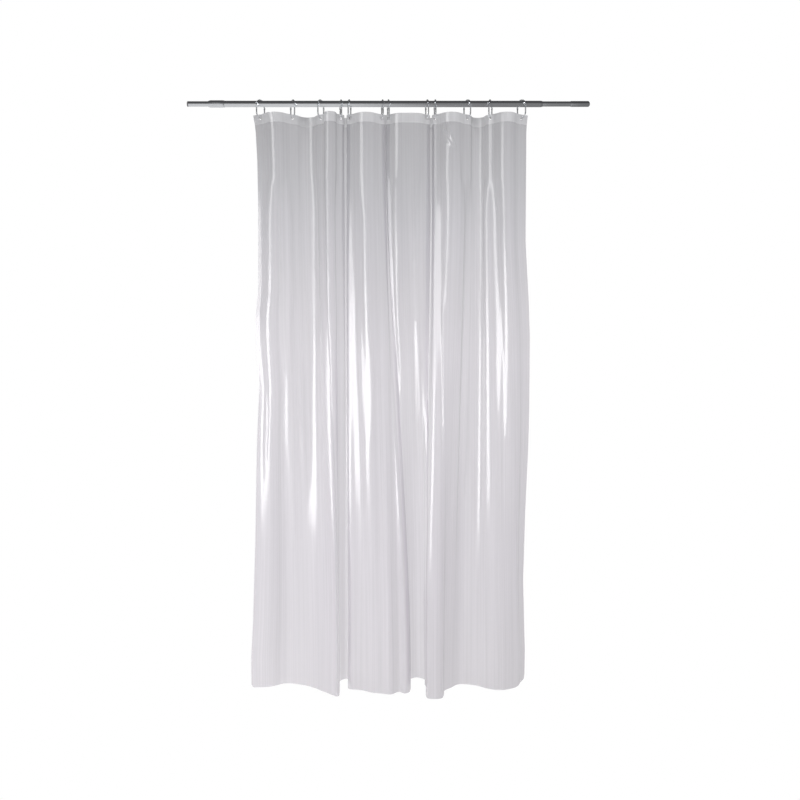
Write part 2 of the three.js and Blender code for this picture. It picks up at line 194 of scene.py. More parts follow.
def srgb(*values):
    """Linear colour of an sRGB one given from 0 to 255."""
    out = []
    for v in values:
        c = v / 255
        out.append(c / 12.92 if c <= 0.04045 else ((c + 0.055) / 1.055) ** 2.4)
    return tuple(out)


# ---------------------------------------------------------------- materials
THROUGH = 0.45  # share of the film's body that passes light on from its back


def film_material(name, alpha, shaded_colour_stops):
    """Clear film with fine drawing lines, orange peel and faint handling marks. Its colour by drop is
    painted shade: greyer towards the top, lightest a little above the middle and slightly greyer at the
    hem. Part of the light that falls on its back comes through. Alpha is one number for the whole
    piece, or stops on the way down."""
    m = Nodes(name)
    flat = m.add("ShaderNodeTexCoord").outputs["UV"]
    split = m.add("ShaderNodeSeparateXYZ")
    m.link(flat, split.inputs["Vector"])
    drop = m.divide(split.outputs["Y"], -FILM_LENGTH * MM)
    # painted shade: the film's colour by drop is greyer towards the top and slightly greyer at the hem
    colour = m.ramp(drop, shaded_colour_stops)
    haze = m.noise(1.0, (2.2, 0.9, 1), 3.0, from_uv=True)
    lines = m.noise(1.0, (210, 1.4, 1), 3.0, 0.6, from_uv=True)
    bands = m.noise(1.0, (75, 0.5, 1), 2.0, 0.6, from_uv=True)
    toned_and_shaded = m.tint(m.tint(m.tint(colour, haze, 0.94), lines, 0.9), bands, 0.94)
    marks = m.noise(1.0, (70, 14, 1), 6.0, 0.6, from_uv=True)
    peel = m.noise(1.0, (150, 90, 1), 2.0, from_uv=True)
    m.link(toned_and_shaded, m.shader.inputs["Base Color"])
    m.link(m.span(marks, 0.35, 0.75, 0.1, 0.24), m.shader.inputs["Roughness"])
    m.bump(peel, 0.1, 0.0006)
    m.set(IOR=1.5, Specular_IOR_Level=0.9, Coat_Weight=0.35, Coat_Roughness=0.09)
    through = m.add("ShaderNodeBsdfTranslucent")
    m.link(toned_and_shaded, through.inputs["Color"])
    body = m.add("ShaderNodeMixShader")
    body.inputs["Fac"].default_value = THROUGH
    m.link(m.shader.outputs["BSDF"], body.inputs[1])
    m.link(through.outputs["BSDF"], body.inputs[2])
    seen = m.add("ShaderNodeMixShader")
    if isinstance(alpha, list):
        m.link(m.ramp(drop, alpha), seen.inputs["Fac"])
    else:
        seen.inputs["Fac"].default_value = alpha
    m.link(m.add("ShaderNodeBsdfTransparent").outputs["BSDF"], seen.inputs[1])
    m.link(body.outputs["Shader"], seen.inputs[2])
    m.link(seen.outputs["Shader"], m.out.inputs["Surface"])
    return m.material


def steel_material(name, colour, rough):
    """Drawn stainless tube: fine lines round the tube's axis, faint smudges."""
    m = Nodes(name)
    lines = m.noise(420, (0.02, 1, 1), 5.0, 0.65)
    smudge = m.noise(14, (1, 1, 1), 3.0)
    base = m.ramp(lines, [(0.3, tuple(c * 0.94 for c in colour)), (0.7, colour)])
    m.link(m.tint(base, smudge, 0.95), m.shader.inputs["Base Color"])
    m.link(m.span(smudge, 0.3, 0.7, rough, rough + 0.1), m.shader.inputs["Roughness"])
    m.bump(lines, 0.012, 0.0001)
    m.set(Metallic=1.0)
    return m.material


def ring_material():
    """Clear moulded plastic with faint flow lines."""
    m = Nodes("clear_ring_plastic")
    flow = m.noise(160, (1, 1, 0.4), 3.0)
    tone = m.ramp(flow, [(0.3, srgb(236, 238, 241)), (0.7, srgb(248, 249, 251))])
    m.link(tone, m.shader.inputs["Base Color"])
    m.link(m.span(flow, 0.3, 0.7, 0.06, 0.14), m.shader.inputs["Roughness"])
    m.bump(flow, 0.1, 0.0003)
    m.set(IOR=1.49, Transmission_Weight=1.0)
    return m.material


def moulded_material(name, colour, rough):
    """Moulded nylon or rubber with a fine pebbled skin."""
    m = Nodes(name)
    skin = m.noise(900, (1, 1, 1), 3.0)
    wear = m.noise(60, (1, 1, 1), 4.0)
    base = m.ramp(wear, [(0.3, tuple(c * 0.85 for c in colour)), (0.7, colour)])
    m.link(base, m.shader.inputs["Base Color"])
    m.link(m.span(wear, 0.3, 0.7, rough, min(1, rough + 0.15)), m.shader.inputs["Roughness"])
    m.bump(skin, 0.3, 0.0002)
    return m.material


# The film's colour stops are painted shade: grey at the top, lightest a little above the middle,
# slightly greyer at the hem
FILM = film_material(
    "clear_film",
    [(0.0, (0.88,) * 3), (0.15, (0.85,) * 3), (0.4, (0.8,) * 3), (1.0, (0.76,) * 3)],
    [(0.0, srgb(175, 174, 178)), (0.12, srgb(191, 190, 195)), (0.21, srgb(204, 202, 208)),
     (0.3, srgb(213, 210, 216)), (0.42, srgb(222, 218, 225)), (0.52, srgb(222, 218, 225)),
     (0.78, srgb(218, 213, 221)), (1.0, srgb(216, 211, 218))],
)
HEADER_FILM = film_material(
    "header_film",
    0.9,
    [(0.0, srgb(224, 224, 226)), (1.0, srgb(224, 224, 226))],
)
STEEL = steel_material("stainless_tube", (0.62, 0.63, 0.65), 0.18)
DARK_STEEL = steel_material("stainless_fitting", (0.5, 0.51, 0.53), 0.24)
SPRING_STEEL = steel_material("spring_wire", (0.4, 0.41, 0.43), 0.35)
RING_PLASTIC = ring_material()
NYLON = moulded_material("nylon", (0.86, 0.86, 0.84), 0.45)
RUBBER = moulded_material("rubber", (0.12, 0.12, 0.125), 0.7)


# ---------------------------------------------------------------- mesh helpers
def new_piece(name, verts, faces, material, body, slot, replaces):
    """A smooth-shaded mesh that rides on a body and stands for these CAD nodes."""
    mesh = bpy.data.meshes.new(name)
    mesh.from_pydata([tuple(v) for v in verts], [], [tuple(f) for f in faces])
    mesh.materials.append(material)
    for polygon in mesh.polygons:
        polygon.use_smooth = True
    mesh.update()
    piece = bpy.data.objects.new(name, mesh)
    bpy.context.scene.collection.objects.link(piece)
    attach(piece, body)
    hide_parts(*replaces)
    return piece


# ---------------------------------------------------------------- film shape
FILM_ANGLE = math.radians(38)  # between the film and the rod's line at a hole
FLAT = 5.0  # half of the straight stretch at a hole
HEM_SWING = 2.0
HEM_OFFSET = -13.0
# The hem's plan: place as a share of its width, and depth towards the back
HEM_FOLDS = [
    (0, 14), (0.04, 20), (0.08, 32), (0.134, 52), (0.185, 34), (0.222, 8), (0.26, -24), (0.29, -50),
    (0.309, -60), (0.316, -30), (0.31, 30), (0.31, 78), (0.33, 94), (0.347, 74), (0.346, 36),
    (0.346, 4), (0.375, -6), (0.4, -14), (0.43, -26), (0.47, -40), (0.498, -46), (0.529, -24),
    (0.55, -36), (0.566, -24), (0.57, 20), (0.564, 70), (0.57, 98), (0.595, 106), (0.621, 84),
    (0.629, 30), (0.627, -30), (0.632, -78), (0.658, -84), (0.682, -78), (0.69, -46), (0.694, -14),
    (0.727, 26), (0.752, 40), (0.786, 42), (0.818, 30), (0.85, 8), (0.885, -6), (0.91, -8), (0.94, 6),
    (0.965, 30), (0.985, 70), (1, 104),
]
FINE = 1.0  # step along the film when a plan is integrated
DOUBLE_BULGE, DOUBLING = 6, 0.62  # the gap whose film makes two bulges, and how strongly


def curl_profile(u, curl, third):
    """The film's angle along one gap, from a hole at u = 0 to the next at u = 1."""
    swing = (FILM_ANGLE - third) * np.cos(np.pi * u) + third * np.cos(3 * np.pi * u)
    return swing + curl * np.sin(2 * np.pi * u)


def solve_curl(chord, length, third):
    """The curl with which film of this length spans this chord."""
    u = (np.arange(400) + 0.5) / 400
    low, high = -0.8, 3.5
    for _ in range(50):
        curl = (low + high) / 2
        reach = length * np.cos(curl_profile(u, curl, third)).mean()
        low, high = (curl, high) if reach > chord else (low, curl)
    return (low + high) / 2


def header_plan():
    """Film angle along the flat width, integrated to x and y at every FINE step."""
    s = np.arange(0, FILM_WIDTH, FINE) + FINE / 2
    angle = np.empty_like(s)
    angle[s < HOLE_MARGIN] = -FILM_ANGLE
    angle[s > FILM_WIDTH - HOLE_MARGIN] = FILM_ANGLE
    for i, share in enumerate(SPREAD):
        side = -1 if i % 2 == 0 else 1
        third = DOUBLING if i == DOUBLE_BULGE else 0.0
        chord = share * BULGE - 2 * FLAT * math.cos(FILM_ANGLE)
        curled = BULGE - 2 * FLAT
        curl = solve_curl(chord, curled, third)
        here = (s >= RING_S[i]) & (s < RING_S[i] + BULGE)
        u = np.clip((s[here] - RING_S[i] - FLAT) / curled, 0, 1)
        angle[here] = side * curl_profile(u, curl, third)
    x = np.concatenate([[0], np.cumsum(np.cos(angle) * FINE)])
    y = np.concatenate([[0], np.cumsum(np.sin(angle) * FINE)])
    along = np.arange(len(x)) * FINE
    # Each ring's hole is put exactly at its ring.
    dx = np.interp(along, RING_S, np.array(RING_X) - np.interp(RING_S, along, x))
    dy = np.interp(along, RING_S, -np.interp(RING_S, along, y))
    return along, x + dx, y + dy


def catmull(points, per=40):
    """Centripetal Catmull-Rom through the points."""
    p = np.array(points, float)
    p = np.vstack([2 * p[0] - p[1], p, 2 * p[-1] - p[-2]])
    out = []
    for i in range(1, len(p) - 2):
        a, b, c, d = p[i - 1], p[i], p[i + 1], p[i + 2]
        t0 = 0.0
        t1 = t0 + np.linalg.norm(b - a) ** 0.5
        t2 = t1 + np.linalg.norm(c - b) ** 0.5
        t3 = t2 + np.linalg.norm(d - c) ** 0.5
        t = np.linspace(t1, t2, per, endpoint=False)[:, None]
        a1 = (t1 - t) / (t1 - t0) * a + (t - t0) / (t1 - t0) * b
        a2 = (t2 - t) / (t2 - t1) * b + (t - t1) / (t2 - t1) * c
        a3 = (t3 - t) / (t3 - t2) * c + (t - t2) / (t3 - t2) * d
        b1 = (t2 - t) / (t2 - t0) * a1 + (t - t0) / (t2 - t0) * a2
        b2 = (t3 - t) / (t3 - t1) * a2 + (t - t1) / (t3 - t1) * a3
        out.append((t2 - t) / (t2 - t1) * b1 + (t - t1) / (t2 - t1) * b2)
    out.append(p[-2][None])
    return np.vstack(out)


def hem_plan(header):
    """The hem's plan at the same places along the film as the header's."""
    along, hx, _ = header
    left = hx[0] - HEM_SWING
    width = hx[-1] + HEM_SWING - left
    line = catmull([(left + share * width, depth + HEM_OFFSET) for share, depth in HEM_FOLDS])
    run = np.concatenate([[0], np.cumsum(np.linalg.norm(np.diff(line, axis=0), axis=1))])
    share = along / along[-1] * run[-1]
    return np.interp(share, run, line[:, 0]), np.interp(share, run, line[:, 1])


def smooth(t):
    """A soft step from 0 to 1."""
    t = np.clip(t, 0, 1)
    return t * t * (3 - 2 * t)


def run_length(x, y):
    return np.hypot(np.diff(x), np.diff(y)).sum()


STRAIGHT = 60.0  # the drop down to which the film keeps the header's plan
# Soft vertical folds: wavelength along the film, phase, drift of the phase on the way down, size
RIPPLES = [(134.0, 0.4, 0.35, 1.0), (97.0, 1.9, -0.4, 0.9), (71.0, 3.1, 0.3, 0.45)]
CREASES = (38.0, 0.7, 0.5, 0.12)
# Local folds: place across the flat film, where they start and end, half width, height
RIDGES = [
    (252, 130, 1000, 20, 7.5), (300, 640, 1250, 11, 3.6), (208, 700, 1330, 12, 4.5),
    (409, 120, 900, 16, 5.0), (430, 650, 1300, 10, 4.0), (470, 700, 1350, 12, -5.0),
    (725, 250, 1150, 18, -5.5), (752, 700, 1250, 11, 4.0),
    (1012, 130, 900, 15, 5.0), (1046, 560, 1300, 13, 6.0), (1078, 650, 1250, 11, 5.5),
    (1089, 60, 620, 9, 4.0), (1404, 90, 1000, 15, 7.0), (1482, 500, 1200, 13, 5.0),
    (1340, 560, 1250, 12, 4.0),
]
ROOM_STEP = 6  # every how many plan points clearance() looks at one
MOST_LENGTH = 0.985  # share of the flat width that the soft folds may take a plan's length up to
HEM_RIPPLE, UPPER_RIPPLE = 3, 5  # cap on the soft folds: at the hem, and what the upper half adds


def clearance(x, y):
    """Distance from each point of a plan to the nearest film that isn't its own neighbour."""
    px, py = x[::ROOM_STEP], y[::ROOM_STEP]
    gap = np.hypot(px[:, None] - px[None], py[:, None] - py[None])
    index = np.arange(len(px)) * ROOM_STEP * FINE
    apart = np.abs(index[:, None] - index[None])
    # A point on a curve is nearer than its run along the film; only clearly folded-back film counts.
    gap[apart < 40] = np.inf
    gap[gap > 0.8 * apart] = np.inf
    room = np.minimum(gap.min(axis=1), 120)
    kernel = np.ones(5) / 5
    room = np.convolve(np.pad(room, 2, mode="edge"), kernel, mode="valid")
    return np.interp(np.arange(len(x)), np.arange(len(px)) * ROOM_STEP, room)


def wave(along, share, spec):
    """One train of soft folds along the film at this share of its drop."""
    length, phase, drift, size = spec
    wobble = 0.9 * np.sin(along / 173.0 + phase * 2) + 0.6 * np.sin(along / 97.0 + phase)
    return size * np.sin(2 * np.pi * along / length + phase + drift * share * 2.2 + wobble)


def ridges(along, drop):
    """How far the local folds lift the film off its plan at this drop."""
    lift = np.zeros_like(along)
    for place, start, end, width, height in RIDGES:
        here = smooth((drop - start) / 160) * smooth((end - drop) / 220)
        lean = 6 * math.sin(drop / 210 + place)
        lift -= height * here * np.exp(-(((along - place - lean) / width) ** 2))
    return lift


def row_plan(drop, header, hem):
    """Plan of the film at this drop below its top edge: the header's plan going over to the hem's,
    with soft folds that take up the width that going over would lose."""
    along, hx, hy = header
    share = max(0.0, (drop - STRAIGHT) / (FILM_LENGTH - STRAIGHT))
    over = smooth(share)
    x = hx + (hem[0] - hx) * over
    y = hy + (hem[1] - hy) * over
    if share <= 0:
        return x, y
    ripple = sum(wave(along, share, spec) for spec in RIPPLES)
    ripple *= 0.65 + 0.35 * np.sin(along / 111.0 + 1.6 * share + 0.5) * np.sin(along / 263.0 + 1.0)
    ripple *= smooth((along + 1) / 40) * smooth((FILM_WIDTH - along + 1) / 40)
    ripple *= np.clip(clearance(x, y) / 60, 0.12, 1)
    tx, ty = np.gradient(x), np.gradient(y)
    size = np.hypot(tx, ty) + 1e-9
    nx, ny = -ty / size, tx / size
    low, high = 0.0, 16.0
    for _ in range(24):
        mid = (low + high) / 2
        length = run_length(x + nx * ripple * mid, y + ny * ripple * mid)
        low, high = (low, mid) if length > MOST_LENGTH * FILM_WIDTH else (mid, high)
    low = min(low, HEM_RIPPLE + UPPER_RIPPLE * smooth((1 - share) / 0.5))
    ripple *= low * smooth(share / 0.1)
    ripple += wave(along, share, CREASES) * 1.4 * smooth(share / 0.15) * smooth((1 - share) / 0.3)
    sway = np.sin(drop / 310.0 + along / 260.0)
    ripple += 1.6 * sway * smooth(share / 0.2) * smooth((1 - share) / 0.2)
    ripple += ridges(along, drop)
    return x + nx * ripple, y + ny * ripple


# Short creases under the ninth ring: ends in flat film coordinates, half width, height
PUCKERS = [((1334, 46), (1371, 112), 5.0, -3.4), ((1357, 46), (1386, 122), 5.0, -4.6)]


def pucker(s, d):
    """How far the creases lift the film off its plan."""
    lift = np.zeros_like(s)
    for start, end, width, height in PUCKERS:
        ax, ay = start
        run = np.array(end, float) - start
        along = ((s - ax) * run[0] + (d - ay) * run[1]) / (run @ run)
        near = np.clip(along, 0, 1)
        off = np.hypot(s - ax - near * run[0], d - ay - near * run[1])
        ends = (smooth((along + 0.25) / 0.5), smooth((1.25 - along) / 0.5))
        lift += height * np.exp(-((off / width) ** 2)) * ends[0] * ends[1]
    return lift


def edge_shift(along, drop):
    """How the side edges lean in and out on the way down."""
    left = np.interp(
        drop,
        [0, 42, 160, 300, 600, 690, 770, 850, 950, 1150, 1480, 1760, 1900, 2000],
        [-4, 4, 10, 12, 12, 4, 4, 10, 17, 9, 4, -4, -11, -10],
    )
    right = np.interp(
        drop,
        [0, 42, 440, 650, 770, 1030, 1170, 1240, 1400, 1640, 1900, 2000],
        [0, -5, -5, 7, 11, 10, 7, 4, -2, -7, 1, -1],
    )
    return left * smooth(1 - along / 240) + right * smooth(1 - (FILM_WIDTH - along) / 240)


class FilmShape:
    """Maps flat film coordinates (s across, d down) to a place in the CAD frame, in millimetres."""

    def __init__(self):
        header = header_plan()
        hem = hem_plan(header)
        self.along = header[0]
        below = np.arange(80, FILM_LENGTH + 1, 16.0)  # these end exactly at the hem
        self.drops = np.concatenate([[0, STRAIGHT * 0.5, STRAIGHT], below])
        rows = [row_plan(d, header, hem) for d in self.drops]
        self.x = np.array([r[0] for r in rows])
        self.y = np.array([r[1] for r in rows])
        for k, d in enumerate(self.drops):
            self.x[k] += edge_shift(self.along, d)

    def sample(self, table, s, d):
        """Reads a table of rows by drop at flat film coordinates, linearly between its entries."""
        k = np.clip(np.searchsorted(self.drops, d, side="right") - 1, 0, len(self.drops) - 2)
        f = (d - self.drops[k]) / (self.drops[k + 1] - self.drops[k])
        i = np.clip((s / FINE).astype(int), 0, len(self.along) - 2)
        g = s / FINE - i
        top = table[k, i] * (1 - g) + table[k, i + 1] * g
        low = table[k + 1, i] * (1 - g) + table[k + 1, i + 1] * g
        return top * (1 - f) + low * f

    def place(self, s, d, off=0.0):
        """The point of the film at (s, d), moved off its face by off towards the back."""
        s, d = np.asarray(s, float), np.asarray(d, float)
        x, y = self.sample(self.x, s, d), self.sample(self.y, s, d)
        if np.any(off):
            a = np.clip(s - 2, 0, FILM_WIDTH)
            b = np.clip(s + 2, 0, FILM_WIDTH)
            tx = self.sample(self.x, b, d) - self.sample(self.x, a, d)
            ty = self.sample(self.y, b, d) - self.sample(self.y, a, d)
            size = np.hypot(tx, ty) + 1e-9
            x, y = x - ty / size * off, y + tx / size * off
        return np.stack([x, y, FILM_TOP - d], axis=-1)


def flat_grid(ss, dd):
    """Vertices and quads of a flat grid."""
    across, down = len(ss), len(dd)
    s, d = np.meshgrid(ss, dd)
    faces = []
    for r in range(down - 1):
        for c in range(across - 1):
            a = r * across + c
            faces.append((a, a + across, a + across + 1, a + 1))
    return s.ravel(), d.ravel(), faces


def punch(s, d, faces, radius):
    """Opens a round hole at each ring: points inside go, and the ones next to them move to its rim."""
    s, d = s.copy(), d.copy()
    gone = np.zeros(len(s), bool)
    for centre in RING_S:
        r = np.hypot(s - centre, d - HOLE_DROP)
        gone |= r < radius - 0.9
        near = (r >= radius - 0.9) & (r < radius + 0.7)
        s[near] = centre + (s[near] - centre) * radius / r[near]
        d[near] = HOLE_DROP + (d[near] - HOLE_DROP) * radius / r[near]
    kept = [f for f in faces if not any(gone[v] for v in f)]
    used = sorted({v for f in kept for v in f})
    index = {v: i for i, v in enumerate(used)}
    return s[used], d[used], [tuple(index[v] for v in f) for f in kept]


# Steps of the meshes, and the places across the film where the short creases need more of them
HOLE_STEP, FILM_STEP = 1.4, 4.2
CREASED = np.arange(1310, 1402, 2.0)
CORNER = 14.0  # radius of the film's lower corners
LAYER = 0.55  # from the film to each layer of the header
PATCH = 10.0  # half width of the fine mesh round a hole


def across_steps(coarse, fine):
    """Positions across the film: fine round each hole, coarse between."""
    marks = {0.0, FILM_WIDTH}
    for centre in RING_S:
        for k in np.arange(-PATCH, PATCH + 0.01, fine):
            marks.add(round(centre + k, 3))
    edges = [0.0] + [v for c in RING_S for v in (c - PATCH, c + PATCH)] + [FILM_WIDTH]
    for a, b in zip(edges[::2], edges[1::2]):
        count = max(1, round((b - a) / coarse))
        marks.update(round(v, 3) for v in np.linspace(a, b, count + 1))
    return np.array(sorted(marks))


def lay_flat(piece, s, d):
    """Gives the piece a UV map in metres: across the film, and down from its top edge."""
    layer = piece.data.uv_layers.new(name="flat")
    for loop in piece.data.loops:
        layer.data[loop.index].uv = (s[loop.vertex_index] * MM, -d[loop.vertex_index] * MM)


def round_corners(s, d):
    """Cuts the film's two lower corners round, by moving the points of their squares inwards."""
    for side, sign in ((0.0, 1), (FILM_WIDTH, -1)):
        inward, low = np.abs(s - side), FILM_LENGTH - d
        inside = (inward < CORNER) & (low < CORNER)
        cx, cy = CORNER - inward[inside], CORNER - low[inside]
        reach = np.maximum(np.hypot(cx, cy), 1e-6)
        pull = np.minimum(1, np.maximum(cx, cy) / reach)
        s[inside] = side + sign * (CORNER - cx * pull)
        d[inside] = FILM_LENGTH - (CORNER - cy * pull)


def make_film(shape):
    rows = [
        np.arange(0, 30, HOLE_STEP), np.arange(32, 80, 4.0), np.arange(80, 128, 4.0),
        np.linspace(128, FILM_LENGTH, 170),
    ]
    across = np.unique(np.concatenate([across_steps(FILM_STEP, HOLE_STEP), CREASED]))
    s, d, faces = flat_grid(across, np.concatenate(rows))
    s, d, faces = punch(s, d, faces, HOLE_RADIUS)
    round_corners(s, d)
    points = shape.place(s, d, pucker(s, d)) * MM
    piece = new_piece("curtain_sheet", points, faces, FILM, "curtain", "clear_film", ["curtain_film"])
    lay_flat(piece, s, d)
    return piece


def make_header(shape):
    """The doubled strip: one layer in front of the film and one behind, joined over the top edge."""
    rows = np.concatenate([np.arange(0, 30, HOLE_STEP), [31.0, HEADER]])
    s, d, faces = flat_grid(across_steps(FILM_STEP, HOLE_STEP), rows)
    s, d, faces = punch(s, d, faces, HOLE_RADIUS + 0.5)
    n = len(s)
    faces += [tuple(v + n for v in reversed(f)) for f in faces]
    edge = sorted((i for i in range(n) if d[i] < 1e-6), key=lambda i: s[i])
    ridge = shape.place(s[edge], d[edge])
    ridge[:, 2] += 0.5
    verts = np.vstack([shape.place(s, d, -LAYER), shape.place(s, d, LAYER), ridge]) * MM
    for k, (a, b) in enumerate(zip(edge, edge[1:]), start=2 * n):
        faces += [(a, b, k + 1, k), (k, k + 1, b + n, a + n)]
    piece = new_piece(
        "header_strip", verts, faces, HEADER_FILM, "curtain", "header_film", ["header_band"]
    )
    lay_flat(piece, np.concatenate([s, s, s[edge]]), np.concatenate([d, d, d[edge]]))
    return piece


shape = FilmShape()
film = make_film(shape)
header = make_header(shape)


# ---------------------------------------------------------------- rings
def ring_line(count):
    """Centreline of a closed ring in its own YZ plane: y towards the back, z up."""
    arc = math.pi * RING_ARC
    total = 2 * arc + 2 * RING_LEG
    top = CROWN_Z - RING_ARC
    out = []
    for i in range(count):
        run = i / count * total
        if run < arc:
            a = run / RING_ARC
            out.append((RING_ARC * math.cos(a), top + RING_ARC * math.sin(a)))
        elif run < arc + RING_LEG:
            out.append((-RING_ARC, top - (run - arc)))
        elif run < 2 * arc + RING_LEG:
            a = (run - arc - RING_LEG) / RING_ARC
            out.append((-RING_ARC * math.cos(a), top - RING_LEG - RING_ARC * math.sin(a)))
        else:
            out.append((RING_ARC, top - RING_LEG + (run - 2 * arc - RING_LEG)))
    return np.array(out)


def swept(line, radii, sides):
    """Closed tube about a loop in the YZ plane."""
    n = len(line)
    verts, faces = [], []
    for i in range(n):
        before, after = line[i - 1], line[(i + 1) % n]
        t = (after - before) / np.linalg.norm(after - before)
        normal = np.array([-t[1], t[0]])
        for k in range(sides):
            a = 2 * math.pi * k / sides
            side = normal * math.cos(a) * radii[i]
            verts.append((math.sin(a) * radii[i], line[i][0] + side[0], line[i][1] + side[1]))
    for i in range(n):
        here, there = i * sides, (i + 1) % n * sides
        for k in range(sides):
            m = (k + 1) % sides
            faces.append((here + k, here + m, there + m, there + k))
    return verts, faces


CLASP_Z = CROWN_Z - RING_ARC - 6.0
CLASP_HALF = 3.2
WIRE_SIDES = 14


def ring_radius(y, z):
    """The wire, and the clasp on its back leg: a barrel with a groove where the ring's ends meet."""
    near = abs(z - CLASP_Z) if y > RING_ARC - 0.5 else math.inf
    swell = 0.75 * (1 - float(smooth((near - CLASP_HALF) / 1.4)))
    groove = 0.55 * max(0.0, 1 - near / 0.8)
    return WIRE_RADIUS + swell - groove


def make_ring(index):
    """One snap ring on the rod. The points near its clasp are closer, to show the groove."""
    clasp = [(RING_ARC, CLASP_Z + dz) for dz in np.arange(-5.4, 5.5, 0.6)]
    rest = [p for p in ring_line(120) if p[0] <= RING_ARC - 0.5 or abs(p[1] - CLASP_Z) >= 5.8]
    middle = CROWN_Z - RING_ARC - RING_LEG / 2
    line = np.array(sorted(rest + clasp, key=lambda p: math.atan2(p[1] - middle, p[0])))
    verts, faces = swept(line, [ring_radius(y, z) for y, z in line], WIRE_SIDES)
    turn = math.radians(TURNS[index])
    c, s = math.cos(turn), math.sin(turn)
    points = [((x * c - y * s + RING_X[index]) * MM, (x * s + y * c) * MM, z * MM) for x, y, z in verts]
    name = f"ring_{index + 1:02d}"
    body = "curtain" if index == 0 else name
    return new_piece(f"{name}_clear", points, faces, RING_PLASTIC, body, "clear_plastic", [name])


rings = [make_ring(i) for i in range(RING_COUNT)]


# ---------------------------------------------------------------- rod
OUTER_RADIUS, LEFT_RADIUS, RIGHT_RADIUS = ROD_RADIUS, 9.3, 9.0
OUTER_WALL, INNER_WALL = 1.0, 0.8
TUBE, FITTING = "stainless_tube", "stainless_fitting"
COLLAR_RADIUS, COLLAR_BORE, COLLAR_LIP = 12.5, 11.35, 9.65
GRIP = (87.0, 115.0)  # the collar's grooved stretch along x
GROOVES, GROOVE_HALF, GROOVE_DEPTH = 10, 0.65, 0.35


def turned(name, profile, material, body, slot, node, sides=64, dips=None):
    """A closed profile of (x, radius) turned about the rod's axis, with its edges slightly bevelled.
    dips gives how far the surface sinks at an x, a radius and a turn about the axis."""
    verts, faces = [], []
    n = len(profile)
    for x, r in profile:
        for k in range(sides):
            a = 2 * math.pi * k / sides
            here = r - dips(x, r, a) if dips else r
            verts.append((x * MM, here * math.cos(a) * MM, here * math.sin(a) * MM))
    for i in range(n):
        j = (i + 1) % n
        for k in range(sides):
            m = (k + 1) % sides
            faces.append((i * sides + k, j * sides + k, j * sides + m, i * sides + m))
    soften(new_piece(name, verts, faces, material, body, slot, [node]))


def soften(piece, width=0.18, angle=35):
    """Bevels the piece's sharp edges."""
    bm = bmesh.new()
    bm.from_mesh(piece.data)
    bmesh.ops.remove_doubles(bm, verts=bm.verts, dist=1e-7)
    bmesh.ops.dissolve_degenerate(bm, edges=bm.edges, dist=1e-7)
    bmesh.ops.recalc_face_normals(bm, faces=bm.faces)
    least = math.radians(angle)
    sharp = [e for e in bm.edges if len(e.link_faces) == 2 and e.calc_face_angle(0) > least]
    bmesh.ops.bevel(bm, geom=sharp, offset=width * MM, segments=2, profile=0.6, affect="EDGES")
    for f in bm.faces:
        f.smooth = True
    bm.to_mesh(piece.data)
    bm.free()
    piece.data.update()


def ends_mm(node):
    """Where the CAD node starts and ends along the rod."""
    low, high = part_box(node)
    return low[0] / MM, high[0] / MM


def tube_profile(node, wall, outer):
    start, end = ends_mm(node)
    return [(start, outer), (end, outer), (end, outer - wall), (start, outer - wall)]


def grip_dips(x, r, a):
    """Shallow grooves along the middle of the lock collar."""
    if r < COLLAR_RADIUS - 0.5 or not GRIP[0] < x < GRIP[1]:
        return 0.0
    pitch = 2 * math.pi / GROOVES
    off = (a + pitch / 2) % pitch - pitch / 2
    return GROOVE_DEPTH * max(0.0, 1 - (off * COLLAR_RADIUS / GROOVE_HALF) ** 2)


def make_tubes():
    for name, node, body, wall, radius, sides in (
        ("outer_tube_steel", "outer_tube", "main_tube", OUTER_WALL, OUTER_RADIUS, 96),
        ("left_tube_steel", "left_inner_tube", "left_end", INNER_WALL, LEFT_RADIUS, 64),
        ("right_tube_steel", "right_inner_tube", "right_end", INNER_WALL, RIGHT_RADIUS, 64),
    ):
        turned(name, tube_profile(node, wall, radius), STEEL, body, TUBE, node, sides)


def make_collar():
    start, end = ends_mm("lock_collar")
    first, last = GRIP
    bore, lip, outer = COLLAR_BORE, COLLAR_LIP, COLLAR_RADIUS
    profile = [
        (start, lip + 0.5), (start + 6, outer), (first, outer), (first + 0.6, outer),
        (last - 0.6, outer), (last, outer), (end - 6, outer), (end, bore + 0.5), (end, bore),
        (start + 4, bore), (start + 4, lip), (start, lip),
    ]
    turned("collar_steel", profile, STEEL, "lock_collar", TUBE, "lock_collar", 240, grip_dips)


def make_reducer():
    start, end = ends_mm("tube_reducer")
    shoulder = end - 6.7
    profile = [
        (start, 9.7), (shoulder, 9.7), (shoulder, OUTER_RADIUS), (end, 9.8), (end, 9.3), (start, 9.3),
    ]
    turned("reducer_steel", profile, DARK_STEEL, "main_tube", FITTING, "tube_reducer")


def make_cap():
    """The right end's cap: its end is rounded and has a recess for the wall pad."""
    start, end = ends_mm("right_end_cap")
    bore, outer, recess = 9.3, 10.0, 6.8
    profile = [(start, bore), (start, 9.6), (start + 1.5, outer)]
    for i in range(9):
        a = math.pi / 2 * i / 8
        profile.append((end - 4 + 4 * math.sin(a), outer - 2.8 + 2.8 * math.cos(a)))
    profile += [(end, recess), (end - 2, recess), (end - 2, 0.01), (end - 3.7, 0.01), (end - 3.7, bore)]
    turned("cap_steel", profile, DARK_STEEL, "right_end", FITTING, "right_end_cap")


def colour_plain_parts():
    """The parts inside the rod and the wall pads keep their CAD shape and get a material."""
    for material, nodes in (
        (NYLON, ("lock_collet", "left_guide_bush", "spring_stop", "right_spring_plug")),
        (RUBBER, ("left_wall_pad", "right_wall_pad")),
    ):
        for node in nodes:
            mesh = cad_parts[node].data
            mesh.materials.clear()
            mesh.materials.append(material)


